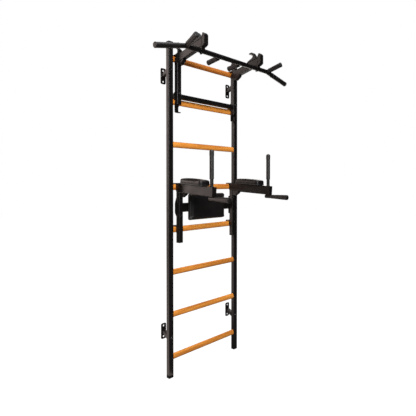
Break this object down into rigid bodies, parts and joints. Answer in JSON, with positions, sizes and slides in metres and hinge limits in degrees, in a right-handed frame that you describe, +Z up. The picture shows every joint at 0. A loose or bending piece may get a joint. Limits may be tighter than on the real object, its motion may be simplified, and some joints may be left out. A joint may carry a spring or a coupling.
{
  "type": "wall bars",
  "caption": "Steel wall-mounted gymnastics ladder with round-edged wooden rungs, hook-on pull-up bar with barbell rests, and hook-on dip station with back pad.",
  "frame": {"origin": "on the floor, under the middle of the bounding box", "axes": "+X along the wall to the right, +Y towards the wall, +Z up"},
  "size_m": [1.2544, 0.5791, 2.212],
  "materials": {
    "powder_black": "fine-textured satin powder coat",
    "beech": "satin lacquer over straight-grained beech",
    "grip_rubber": "matte moulded rubber",
    "vinyl_black": "fine-grained upholstery vinyl, semi-gloss",
    "plastic_black": "matte moulded plastic",
    "bolt_black": "dark zinc plate"
  },
  "bodies": {
    "wall_bars": {"upright_left": "powder_black", "upright_right": "powder_black", "rung_1": "beech", "rung_2": "beech", "rung_3": "beech", "rung_4": "beech", "rung_5": "beech", "rung_6": "beech", "rung_7": "beech", "rung_8": "beech", "top_cap_left": "plastic_black", "top_cap_right": "plastic_black", "foot_left": "plastic_black", "foot_right": "plastic_black", "wall_bracket_upper_left": "powder_black", "wall_bracket_upper_right": "powder_black", "bracket_bolt_upper_left": "bolt_black", "bracket_bolt_upper_right": "bolt_black", "wall_bracket_lower_left": "powder_black", "wall_bracket_lower_right": "powder_black", "bracket_bolt_lower_left": "bolt_black", "bracket_bolt_lower_right": "bolt_black"},
    "pullup_attachment": {"main_bar": "powder_black", "pullup_crossbar": "powder_black", "pullup_post_left": "powder_black", "pullup_post_right": "powder_black", "pullup_arm_left": "powder_black", "pullup_arm_right": "powder_black", "pullup_hook_left": "powder_black", "pullup_hook_right": "powder_black", "barbell_rest_left": "powder_black", "barbell_rest_right": "powder_black", "wing_grip_left": "grip_rubber", "wing_grip_right": "grip_rubber", "front_grip_left": "grip_rubber", "front_grip_right": "grip_rubber", "rear_grip_left": "grip_rubber", "rear_grip_right": "grip_rubber", "bar_bolt_left": "bolt_black", "bar_bolt_right": "bolt_black", "pullup_bolt_left": "bolt_black", "pullup_bolt_right": "bolt_black"},
    "dip_station": {"back_rail": "powder_black", "back_pad": "vinyl_black", "dip_post_left": "powder_black", "dip_post_right": "powder_black", "dip_arm_left": "powder_black", "dip_arm_right": "powder_black", "dip_hook_left": "powder_black", "dip_hook_right": "powder_black", "armrest_pad_left": "vinyl_black", "armrest_pad_right": "vinyl_black", "upright_grip_left": "grip_rubber", "upright_grip_right": "grip_rubber", "dip_grip_left": "grip_rubber", "dip_grip_right": "grip_rubber", "dip_bolt_upper_left": "bolt_black", "dip_bolt_upper_right": "bolt_black", "dip_bolt_lower_left": "bolt_black", "dip_bolt_lower_right": "bolt_black"}
  },
  "joints": [
    {"name": "pullup_lift", "type": "slide", "parent": "wall_bars", "child": "pullup_attachment", "axis": [0, 0, 1], "range_m": [0, 0.05]},
    {"name": "dip_lift", "type": "slide", "parent": "wall_bars", "child": "dip_station", "axis": [0, 0, 1], "range_m": [0, 0.045]}
  ]
}
